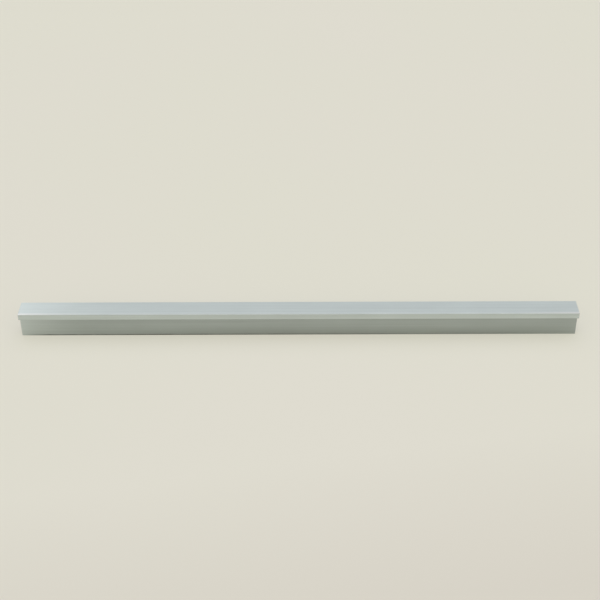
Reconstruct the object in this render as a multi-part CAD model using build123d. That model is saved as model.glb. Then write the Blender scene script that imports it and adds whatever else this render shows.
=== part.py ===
from build123d import *
import os

# Furniture handle: one length of extruded aluminium, cut square at both ends.
# It is a channel that caps the top edge of a cabinet front, with a finger lip ahead of it.
# Millimetres. X runs along the handle, Y from the lip to the back, Z up.
# It stands on Z = 0 on the feet of its two walls, and the origin is the middle of its base.

# Outside
length = 796.0
height = 43.0
lip_overhang = 9.5
lip_drop = 9.0

# The slot that the front's top edge goes into
board_thickness = 18.0
board_clearance = 0.2

# Walls
front_wall = 1.5
rear_wall = 1.5
top_wall = 1.5
lip_wall = 1.5

# Plain holes through the rear wall, for 4 mm screws into the back of the front
screw_hole_radius = 2.1
screw_hole_height = 20.0
screw_hole_count = 4
screw_hole_end_distance = 38.0

# Corner radii of the section
nose_radius = 0.4
top_edge_radius = 0.5
lip_end_radius = 0.4
foot_radius = 0.5
inside_radius = 0.5

# Burr taken off the sawn ends
end_chamfer = 0.2

# The section's lines across, from the lip to the back
slot_width = board_thickness + board_clearance
depth = lip_overhang + front_wall + slot_width + rear_wall
lip_face = -depth / 2
lip_back = lip_face + lip_wall
web_face = lip_face + lip_overhang
slot_front = web_face + front_wall
slot_rear = slot_front + slot_width
rear_face = slot_rear + rear_wall

# Its lines up
ceiling = height - top_wall
lip_end = height - lip_drop

# The screw holes are evenly spaced between the outer two
screw_hole_pitch = (length - 2 * screw_hole_end_distance) / (screw_hole_count - 1)


def section():
    """The section, from the nose over the top and round both walls to the finger lip."""
    corners = [
        ((lip_face, height), nose_radius),
        ((rear_face, height), top_edge_radius),
        ((rear_face, 0), foot_radius),
        ((slot_rear, 0), foot_radius),
        ((slot_rear, ceiling), inside_radius),
        ((slot_front, ceiling), inside_radius),
        ((slot_front, 0), foot_radius),
        ((web_face, 0), foot_radius),
        ((web_face, ceiling), inside_radius),
        ((lip_back, ceiling), inside_radius),
        ((lip_back, lip_end), lip_end_radius),
        ((lip_face, lip_end), lip_end_radius),
    ]
    points = [point for point, radius in corners]
    radii = [radius for point, radius in corners]
    return make_face(FilletPolyline(*points, radius=radii, close=True))


def screw_holes():
    """The drill's path through the rear wall at each screw."""
    drill = Rot(90, 0, 0) * Cylinder(screw_hole_radius, 2 * rear_wall)
    middle = (slot_rear + rear_face) / 2
    spots = Pos(0, middle, screw_hole_height) * GridLocations(
        screw_hole_pitch, 0, screw_hole_count, 1
    )
    return [spot * drill for spot in spots]


def handle_profile():
    """The extruded section at its sawn length, with the burr off its ends, drilled."""
    profile = extrude(Plane.YZ * section(), length / 2, both=True)
    ends = [profile.faces().sort_by(Axis.X)[end] for end in (0, -1)]
    rims = [edge for end in ends for edge in end.outer_wire().edges()]
    profile = chamfer(rims, end_chamfer)
    for hole in screw_holes():
        profile -= hole
    return profile


os.makedirs("parts", exist_ok=True)
export_step(handle_profile(), "parts/handle_profile.step")
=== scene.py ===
import math

import bpy
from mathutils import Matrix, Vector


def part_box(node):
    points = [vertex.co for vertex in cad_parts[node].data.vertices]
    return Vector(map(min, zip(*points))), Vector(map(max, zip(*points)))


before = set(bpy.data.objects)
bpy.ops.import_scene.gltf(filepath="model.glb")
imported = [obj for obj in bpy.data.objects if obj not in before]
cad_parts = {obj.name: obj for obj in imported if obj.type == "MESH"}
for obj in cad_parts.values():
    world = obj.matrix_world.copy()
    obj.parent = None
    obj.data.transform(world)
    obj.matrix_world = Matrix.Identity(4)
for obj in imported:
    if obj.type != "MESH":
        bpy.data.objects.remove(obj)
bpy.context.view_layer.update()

MM = 0.001

# The section's own sizes, and its places from the solid's box
WALL = 1.5 * MM
LIP_OVERHANG = 9.5 * MM
LOW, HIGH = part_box("handle_profile")
LEFT_END = LOW[0]
RIGHT_END = HIGH[0]
LIP_FACE = LOW[1]
LIP_BACK = LIP_FACE + WALL
WEB_FACE = LIP_FACE + LIP_OVERHANG
SLOT_FRONT = WEB_FACE + WALL
FOOT = LOW[2]
TOP = HIGH[2]

# Cells of the patterns in the metal, as length and width: three kinds of die line, clouds, and the
# wobble of the painted contact shadow
FINE_LINE = (140.0 * MM, 0.38 * MM)
MIDDLE_LINE = (330.0 * MM, 1.05 * MM)
BROAD_LINE = (830.0 * MM, 3.3 * MM)
CLOUD = (70.0 * MM, 25.0 * MM)
WOBBLE = (25.0 * MM, 8.0 * MM)

# A cell of the metal's grain, as long as it is wide
GRAIN = 0.17 * MM

# Most of a noise pattern lies between these values, and evenly about its middle
NOISE_RANGE = (0.35, 0.65)
WORN_NOISE_RANGE = (0.35, 0.70)
NOISE_MIDDLE = 0.5

# The patterns' shares in the lines, the shade, the gloss and the relief, and where the shade lies
FINE_SHARE = 0.45
MIDDLE_SHARE = 0.5
CLOUDS_IN_SHADE = 0.3
SHADE_RANGE = (0.53, 0.77)
LINES_IN_GLOSS = 0.6
LINES_IN_RELIEF = 0.85

# Gloss and relief
ROUGHNESS_RANGE = (0.36, 0.46)
ROUGHNESS_LOST_BY_WEAR = 0.10
ROUGHNESS_LOST_IN_ARCS = 0.12
ANISOTROPY = 0.35
RELIEF_STRENGTH = 0.45
RELIEF_HEIGHT = 0.04 * MM

# The sawn ends: how far a face looks along the bar, and arcs round the blade's centre
SAWN_FACING = (0.90, 0.97)
SAWN_BARE = 0.85
SAW_CENTRE = (0.0, -90.0 * MM, 110.0 * MM)
SAW_MARK_SPACING = 0.5 * MM

# How far a wave texture of scale 1 gets on in its phase, in radians, over one unit
WAVE_PHASE_PER_UNIT = 20.0

# Worn edges: the cosine between the rounded and the true normal, and how bare the metal gets
WORN_EDGE = 0.45 * MM
EDGE_COSINE = (0.995, 0.80)
WEAR_RANGE = (0.25, 0.85)
WORN_BARE = 0.30

# How far down from the top the nose's painted highlight starts to go, and is gone
TONE_GOES = 0.07 * WALL
TONE_GONE = 0.5 * WALL

# A painted highlight along the nose, stronger near the ends: how deep the band is, and how light it
# gets
HIGHLIGHT_BAND = 4.0 * MM
HIGHLIGHT_CRISP = 0.8
HIGHLIGHT_RANGE = (0.03, 0.20)
HIGHLIGHT_NEAR_END = 0.75

# Painted shade on the recess behind the lip, where the lip's overhang shades it, fading out toward
# the left end
WEB_MARGIN = 1.0 * MM
SLOT_MARGIN = 0.2 * MM
BRIGHT_LEFT_END = 110.0 * MM
BRIGHT_CURVE = 2.0
BRIGHT_SHARE = 0.85

# Painted shade that thins upward from the foot, and toward the ends
FOOT_SHADE_HEIGHT = 19.0 * MM
FOOT_SHADE_CURVE = 1.8
FOOT_SHADE_RANGE = (0.30, 0.42)
END_ZONE = 90.0 * MM
END_SHADE_LOSS = 0.7
LEFT_SHADE_FADE = 330.0 * MM

# A painted contact shadow: a dark line right at the foot, darkest and gone at these places along
# the bar
CONTACT_SHADOW_HEIGHT = 2.2 * MM
CONTACT_SHADOW_UNEVEN = 1.8 * MM
CONTACT_SHADOW_SHARE = 0.95
LINE_DARKEST = -200.0 * MM
LINE_GONE = 290.0 * MM
LINE_SOFT_END = 40.0 * MM

# The floor: its faint patches, and how far ahead of the bar its painted shade comes in, more so to
# the right
FLOOR_SIZE = 30.0
FLOOR_PATCH = 0.77
SHADE_AHEAD = (0.28, 0.53)
SHADE_SLANT = 0.18

# Linear colours
ANODISED = (0.616, 0.672, 0.668, 1.0)
ANODISED_SHADE = (0.542, 0.593, 0.589, 1.0)
# Painted shade for the recess behind the lip
RECESS_SHADE_TINT = (0.716, 0.714, 0.706, 1.0)
# Bare metal for worn edges and sawn ends, also used as the painted highlight on the nose
BARE_METAL_AND_HIGHLIGHT = (0.720, 0.730, 0.725, 1.0)
# Painted shade at the foot, and the painted contact shadow along it
FOOT_SHADE = (0.120, 0.125, 0.110, 1.0)
FLOOR_COLOUR = (0.730, 0.716, 0.624, 1.0)
FLOOR_TINT = (0.735, 0.712, 0.632, 1.0)
# Painted shade on the floor toward the front
FLOOR_FRONT_SHADE = (0.682, 0.650, 0.576, 1.0)
ROOM_COLOUR = (0.735, 0.745, 0.745, 1.0)
COOL_LIGHT = (0.970, 0.980, 1.200, 1.0)
WARM_LIGHT = (1.025, 1.017, 0.830, 1.0)
WHITE = (1.0, 1.0, 1.0, 1.0)

# How much of the floor's plain colour the eye and the metal see, and of the room's the metal
FLOOR_PALE_SHARE = 0.55
ROOM_PALE_SHARE = 0.60

# The room's light on its four sides, at each of these heights (0 is the horizon, 1 straight up)
HEIGHTS = (0.0, 0.30, 0.60, 0.85, 1.0)
FRONT = (1.0, 1.0, 3.0, 1.0, 0.0)
BACK = (0.0, 0.0, 0.2, 1.5, 0.0)
SIDES = (0.3, 0.4, 0.5, 0.5, 0.0)
OVERHEAD = (0.0, 0.0, 0.0, 0.0, 2.0)

# The back and the overhead light as metal shows them, with a paler wall low down at the back
BACK_SHOWN = (0.4, 0.5, 1.5, 0.5, 0.0)
OVERHEAD_SHOWN = (0.0, 0.0, 0.0, 0.0, 1.70)

# A soft panel behind the left end, which only the metal shows
PANEL_PLACE = (-0.95, 1.10, 0.83)
PANEL_AIM = (-0.30, 0.0, 0.0)
PANEL_WIDTH = 0.45
PANEL_POWER = 1.05

# Camera, as fitted to the corners of the section in the photo
CAMERA_PLACE = (-0.0013, -1.4472, 1.0580)
CAMERA_TURN = (55.320, 0.079, -0.178)
CAMERA_LENS = 74.40
CAMERA_SENSOR = 36.0
CAMERA_REACH = (0.05, 100.0)

# The places of a Mix node's sockets, for plain values and for colours
VALUE_SOCKETS = {"inputs": (0, 2, 3), "result": 0}
COLOUR_SOCKETS = {"inputs": (0, 6, 7), "result": 2}

# Keeps a divisor off zero
TINY = 1e-6


class Nodes:
    """A node tree that is built up by short calls."""

    def __init__(self, tree):
        self.tree = tree
        self.tree.nodes.clear()

    def add(self, kind, values=None, **settings):
        node = self.tree.nodes.new(kind)
        for name, value in settings.items():
            setattr(node, name, value)
        for name, value in (values or {}).items():
            self.put(node.inputs[name], value)
        return node

    def put(self, socket, value):
        if isinstance(value, bpy.types.NodeSocket):
            self.tree.links.new(value, socket)
        else:
            socket.default_value = value

    def axes(self, vector):
        """The X, Y and Z of a vector."""
        return self.add("ShaderNodeSeparateXYZ", {"Vector": vector}).outputs

    def math(self, operation, first, second=0.0, clamp=False):
        node = self.add("ShaderNodeMath", operation=operation, use_clamp=clamp)
        self.put(node.inputs[0], first)
        self.put(node.inputs[1], second)
        return node.outputs[0]

    def plus(self, first, second):
        return self.math("ADD", first, second)

    def minus(self, first, second):
        return self.math("SUBTRACT", first, second)

    def times(self, first, second):
        return self.math("MULTIPLY", first, second)

    def weighed(self, first, share, second):
        """The first value for this share, and the second for the rest."""
        return self.plus(self.times(first, share), self.times(second, 1.0 - share))

    def span(self, value, from_range, to_range):
        """The value moved from one range into another, and kept inside it."""
        node = self.add("ShaderNodeMapRange", {"Value": value}, clamp=True)
        self.put(node.inputs["From Min"], from_range[0])
        self.put(node.inputs["From Max"], from_range[1])
        self.put(node.inputs["To Min"], to_range[0])
        self.put(node.inputs["To Max"], to_range[1])
        return node.outputs["Result"]

    def fade(self, value, none, full):
        """0 where the value is none, 1 where it is full."""
        return self.span(value, (none, full), (0.0, 1.0))

    def mix(self, node, sockets, share, first, second):
        """Fills a Mix node, which has other sockets for each kind of data, and gives its result."""
        for socket, value in zip(sockets["inputs"], (share, first, second)):
            self.put(node.inputs[socket], value)
        return node.outputs[sockets["result"]]

    def mix_value(self, share, first, second):
        node = self.add("ShaderNodeMix", data_type="FLOAT")
        return self.mix(node, VALUE_SOCKETS, share, first, second)

    def mix_colour(self, share, first, second, blend="MIX"):
        node = self.add("ShaderNodeMix", data_type="RGBA", blend_type=blend)
        return self.mix(node, COLOUR_SOCKETS, share, first, second)

    def mix_shader(self, share, first, second):
        node = self.add("ShaderNodeMixShader")
        self.put(node.inputs[0], share)
        self.put(node.inputs[1], first)
        self.put(node.inputs[2], second)
        return node.outputs["Shader"]

    def noise(self, place, cell, detail=2.0, roughness=0.5):
        """Noise whose cells have this size along each of the three axes."""
        scale = [1.0 / size for size in cell]
        mapping = self.add("ShaderNodeMapping", {"Vector": place, "Scale": scale})
        noise = self.add(
            "ShaderNodeTexNoise",
            {
                "Vector": mapping.outputs["Vector"],
                "Scale": 1.0,
                "Detail": detail,
                "Roughness": roughness,
            },
        )
        return noise.outputs["Fac"]

    def lines_along(self, place, line, detail=2.0, roughness=0.5):
        """Lines along X, of this length and width."""
        length, width = line
        return self.noise(place, (length, width, width), detail, roughness)

    def seen(self):
        """1 for rays from the eye or off metal or glass, 0 for light that falls on matt things."""
        path = self.add("ShaderNodeLightPath").outputs
        rays = self.math("ADD", path["Is Camera Ray"], path["Is Glossy Ray"], clamp=True)
        return self.math("ADD", rays, path["Is Transmission Ray"], clamp=True)


def saw_marks(n, place):
    """Arcs that a large saw blade leaves on the ends."""
    away = [-distance for distance in SAW_CENTRE]
    blade = n.add("ShaderNodeMapping", {"Vector": place, "Location": away})
    wave = n.add(
        "ShaderNodeTexWave",
        {
            "Vector": blade.outputs["Vector"],
            "Scale": 2.0 * math.pi / WAVE_PHASE_PER_UNIT / SAW_MARK_SPACING,
            "Distortion": 1.6,
            "Detail": 2.0,
            "Detail Scale": 6.0,
        },
        wave_type="RINGS",
        rings_direction="X",
    )
    return wave.outputs["Fac"]


def worn_edges(n, geometry, clouds):
    """Edges, where the rounded normal leaves the true one, worn here more and there less."""
    rounded = n.add("ShaderNodeBevel", {"Radius": WORN_EDGE}, samples=4)
    turned = n.add("ShaderNodeVectorMath", operation="DOT_PRODUCT")
    n.put(turned.inputs[0], rounded.outputs["Normal"])
    n.put(turned.inputs[1], geometry["Normal"])
    edge = n.fade(turned.outputs["Value"], *EDGE_COSINE)
    return n.times(edge, n.span(clouds, WORN_NOISE_RANGE, WEAR_RANGE))


def painted_recess_shade(n, x, y, under):
    """Painted shade under the lip: the web's face and the underside ahead of it, less toward the
    left end.
    """
    behind_lip = n.fade(y, LIP_BACK, WEB_FACE - WEB_MARGIN)
    before_slot = n.fade(y, SLOT_FRONT, WEB_FACE + SLOT_MARGIN)
    recess = n.times(n.times(behind_lip, before_slot), under)
    left_end = n.math("POWER", n.fade(x, LEFT_END + BRIGHT_LEFT_END, LEFT_END), BRIGHT_CURVE)
    return n.times(recess, n.minus(1.0, n.times(left_end, BRIGHT_SHARE)))


def painted_nose_highlight(n, y, under, near_end, clouds):
    """A painted highlight on the front of the top, and the upper edge of the lip."""
    nose = n.fade(y, LIP_FACE + HIGHLIGHT_BAND, LIP_FACE + HIGHLIGHT_CRISP * HIGHLIGHT_BAND)
    nose = n.times(nose, n.minus(1.0, under))
    highlight = n.plus(
        n.span(clouds, NOISE_RANGE, HIGHLIGHT_RANGE),
        n.times(near_end, HIGHLIGHT_NEAR_END),
    )
    return n.times(nose, highlight)


def painted_foot_shade(n, x, z, near_end, clouds):
    """Painted shade on the walls that thins upward."""
    foot = n.math("POWER", n.fade(z, FOOT + FOOT_SHADE_HEIGHT, FOOT), FOOT_SHADE_CURVE)
    foot = n.times(foot, n.minus(1.0, n.times(near_end, END_SHADE_LOSS)))
    foot = n.times(foot, n.fade(x, LEFT_END, LEFT_END + LEFT_SHADE_FADE))
    return n.times(foot, n.span(clouds, NOISE_RANGE, FOOT_SHADE_RANGE))


def painted_contact_shadow(n, place, x, z):
    """A painted contact shadow: a thin line of uneven height along the foot."""
    wobble = n.minus(n.lines_along(place, WOBBLE, detail=3.0, roughness=0.6), NOISE_MIDDLE)
    height = n.plus(z, n.times(wobble, CONTACT_SHADOW_UNEVEN))
    line = n.fade(height, FOOT + CONTACT_SHADOW_HEIGHT, FOOT + CONTACT_SHADOW_HEIGHT / 2)
    line = n.times(line, n.span(x, (LINE_DARKEST, LINE_GONE), (CONTACT_SHADOW_SHARE, 0.0)))
    return n.times(line, n.fade(x, LEFT_END, LEFT_END + LINE_SOFT_END))


def satin_anodised():
    """Silver anodised aluminium: die lines along the handle, worn edges, sawn ends."""
    material = bpy.data.materials.new("satin_anodised")
    material.use_nodes = True
    n = Nodes(material.node_tree)
    place = n.add("ShaderNodeTexCoord").outputs["Object"]
    x, y, z = n.axes(place)
    geometry = n.add("ShaderNodeNewGeometry").outputs

    # Die lines, much finer across than along, and a slow unevenness of the anodising
    fine = n.lines_along(place, FINE_LINE, detail=3.0, roughness=0.6)
    middle = n.lines_along(place, MIDDLE_LINE)
    broad = n.lines_along(place, BROAD_LINE)
    lines = n.weighed(fine, FINE_SHARE, n.weighed(middle, MIDDLE_SHARE, broad))
    clouds = n.lines_along(place, CLOUD, detail=3.0, roughness=0.55)
    grain = n.noise(place, (GRAIN, GRAIN, GRAIN))

    # The sawn ends are the faces that look along the handle
    facing = n.axes(geometry["True Normal"])
    sawn = n.fade(n.math("ABSOLUTE", facing["X"]), *SAWN_FACING)
    arcs = saw_marks(n, place)
    worn = worn_edges(n, geometry, clouds)

    # Below the top's edge, and toward either end
    under = n.fade(z, TOP - TONE_GOES, TOP - TONE_GONE)
    near_end = n.fade(n.math("ABSOLUTE", x), RIGHT_END - END_ZONE, RIGHT_END)

    shade = n.plus(lines, n.times(clouds, CLOUDS_IN_SHADE))
    colour = n.mix_colour(n.fade(shade, *SHADE_RANGE), ANODISED_SHADE, ANODISED)
    # Painted shade in the recess behind the lip
    colour = n.mix_colour(painted_recess_shade(n, x, y, under), colour, RECESS_SHADE_TINT, "MULTIPLY")
    # Painted highlight along the nose
    colour = n.mix_colour(painted_nose_highlight(n, y, under, near_end, clouds), colour, BARE_METAL_AND_HIGHLIGHT)
    # Painted shade that thins upward from the foot
    colour = n.mix_colour(painted_foot_shade(n, x, z, near_end, clouds), colour, FOOT_SHADE)
    # A painted contact shadow along the foot
    colour = n.mix_colour(painted_contact_shadow(n, place, x, z), colour, FOOT_SHADE)
    colour = n.mix_colour(n.times(worn, WORN_BARE), colour, BARE_METAL_AND_HIGHLIGHT)
    colour = n.mix_colour(n.times(sawn, SAWN_BARE), colour, BARE_METAL_AND_HIGHLIGHT)

    gloss = n.weighed(lines, LINES_IN_GLOSS, clouds)
    roughness = n.span(gloss, NOISE_RANGE, ROUGHNESS_RANGE)
    roughness = n.minus(roughness, n.times(worn, ROUGHNESS_LOST_BY_WEAR))
    roughness = n.minus(roughness, n.times(n.times(sawn, arcs), ROUGHNESS_LOST_IN_ARCS))

    relief = n.mix_value(sawn, n.weighed(lines, LINES_IN_RELIEF, grain), arcs)
    bump = n.add(
        "ShaderNodeBump",
        {
            "Height": relief,
            "Strength": RELIEF_STRENGTH,
            "Distance": RELIEF_HEIGHT,
        },
    )

    # The highlight is drawn out across the lines
    tangent = n.add("ShaderNodeTangent", direction_type="RADIAL", axis="X")
    metal = n.add(
        "ShaderNodeBsdfPrincipled",
        {
            "Base Color": colour,
            "Metallic": 1.0,
            "Roughness": roughness,
            "Anisotropic": ANISOTROPY,
            "Normal": bump.outputs["Normal"],
            "Tangent": tangent.outputs["Tangent"],
        },
    )
    n.add("ShaderNodeOutputMaterial", {"Surface": metal.outputs["BSDF"]})
    return material


def floor_board():
    """A smooth matt off-white board, with painted shade that makes it a little darker toward the
    front.
    """
    material = bpy.data.materials.new("floor_board")
    material.use_nodes = True
    n = Nodes(material.node_tree)
    place = n.add("ShaderNodeTexCoord").outputs["Object"]
    axes = n.axes(place)
    patches = n.noise(place, (FLOOR_PATCH, FLOOR_PATCH, FLOOR_PATCH))
    colour = n.mix_colour(n.fade(patches, *NOISE_RANGE), FLOOR_COLOUR, FLOOR_TINT)
    # Painted shade toward the front, more so to the right
    ahead = n.minus(n.times(axes["X"], SHADE_SLANT), axes["Y"])
    colour = n.mix_colour(n.fade(ahead, *SHADE_AHEAD), colour, FLOOR_FRONT_SHADE)

    # The eye and the metal see a share of the board's own colour, which keeps its shadow light
    board = n.add("ShaderNodeBsdfDiffuse", {"Color": colour, "Roughness": 0.0})
    pale = n.add("ShaderNodeEmission", {"Color": colour, "Strength": 1.0})
    share = n.times(n.seen(), FLOOR_PALE_SHARE)
    both = n.mix_shader(share, board.outputs["BSDF"], pale.outputs["Emission"])
    n.add("ShaderNodeOutputMaterial", {"Surface": both})
    return material


def room_light():
    """A plain room, lit most from ahead and above, which looks pale all round."""
    world = bpy.data.worlds.new("room")
    bpy.context.scene.world = world
    world.use_nodes = True
    n = Nodes(world.node_tree)
    x, y, z = n.axes(n.add("ShaderNodeTexCoord").outputs["Generated"])
    level_squared = n.plus(n.times(x, x), n.times(y, y))
    level = n.math("SQRT", n.math("MAXIMUM", level_squared, TINY))
    seen = n.seen()

    def by_height(levels):
        """One of the levels at each of the heights, and a blend of two between them."""
        ramp = n.add("ShaderNodeValToRGB", {"Fac": z})
        stops = ramp.color_ramp.elements
        while len(stops) < len(HEIGHTS):
            stops.new(1.0)
        for stop, height, strength in zip(stops, HEIGHTS, levels):
            stop.position = height
            stop.color = (strength, strength, strength, 1.0)
        return ramp.outputs["Color"]

    def lit_or_shown(lit, shown):
        """The first levels for what is matt, and the second as metal shows them."""
        return n.mix_colour(seen, by_height(lit), by_height(shown))

    def from_side(along, sign, strength):
        """Full strength straight from one side, and none a quarter turn away from it."""
        toward = n.math("MAXIMUM", n.math("DIVIDE", n.times(along, sign), level), 0.0)
        return n.times(strength, n.times(toward, toward))

    def sky(tint, strength):
        """Tinted for what is matt, and white as metal shows it."""
        colour = n.mix_colour(seen, tint, WHITE)
        part = n.add("ShaderNodeBackground", {"Color": colour, "Strength": strength})
        return part.outputs["Background"]

    cool = from_side(y, 1.0, lit_or_shown(BACK, BACK_SHOWN))
    cool = n.plus(cool, lit_or_shown(OVERHEAD, OVERHEAD_SHOWN))
    warm = from_side(y, -1.0, by_height(FRONT))
    warm = n.plus(warm, from_side(x, -1.0, by_height(SIDES)))
    warm = n.plus(warm, from_side(x, 1.0, by_height(SIDES)))
    light = n.add("ShaderNodeAddShader")
    n.put(light.inputs[0], sky(COOL_LIGHT, cool))
    n.put(light.inputs[1], sky(WARM_LIGHT, warm))

    # The eye sees the pale room alone, and the metal a share of it
    pale = n.add("ShaderNodeBackground", {"Color": ROOM_COLOUR, "Strength": 1.0})
    eye = n.add("ShaderNodeLightPath").outputs["Is Camera Ray"]
    share = n.math("MAXIMUM", eye, n.times(seen, ROOM_PALE_SHARE))
    both = n.mix_shader(share, light.outputs["Shader"], pale.outputs["Background"])
    n.add("ShaderNodeOutputWorld", {"Surface": both})


def panel():
    """A soft square lamp, turned to shine at its aim."""
    lamp = bpy.data.lights.new("panel", "AREA")
    lamp.shape = "SQUARE"
    lamp.size = PANEL_WIDTH
    lamp.energy = PANEL_POWER
    thing = bpy.data.objects.new("panel", lamp)
    thing.location = PANEL_PLACE
    way = [end - start for start, end in zip(PANEL_PLACE, PANEL_AIM)]
    tilt = math.atan2(math.hypot(way[0], way[1]), -way[2])
    heading = math.atan2(way[1], way[0]) - math.pi / 2
    thing.rotation_euler = (tilt, 0.0, heading)
    thing.visible_diffuse = False
    thing.visible_camera = False
    bpy.context.scene.collection.objects.link(thing)


def floor():
    bpy.ops.mesh.primitive_plane_add(size=FLOOR_SIZE, location=(0.0, 0.0, FOOT))
    plane = bpy.context.active_object
    plane.name = "floor"
    plane.data.materials.append(floor_board())


def camera():
    cam = bpy.data.cameras.new("camera")
    cam.sensor_width = CAMERA_SENSOR
    cam.lens = CAMERA_LENS
    cam.clip_start, cam.clip_end = CAMERA_REACH
    thing = bpy.data.objects.new("camera", cam)
    thing.location = CAMERA_PLACE
    thing.rotation_euler = [math.radians(angle) for angle in CAMERA_TURN]
    bpy.context.scene.collection.objects.link(thing)
    bpy.context.scene.camera = thing


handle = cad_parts["handle_profile"]
handle.data.materials.clear()
handle.data.materials.append(satin_anodised())

floor()
room_light()
panel()
camera()
bpy.context.scene.view_settings.view_transform = "Standard"
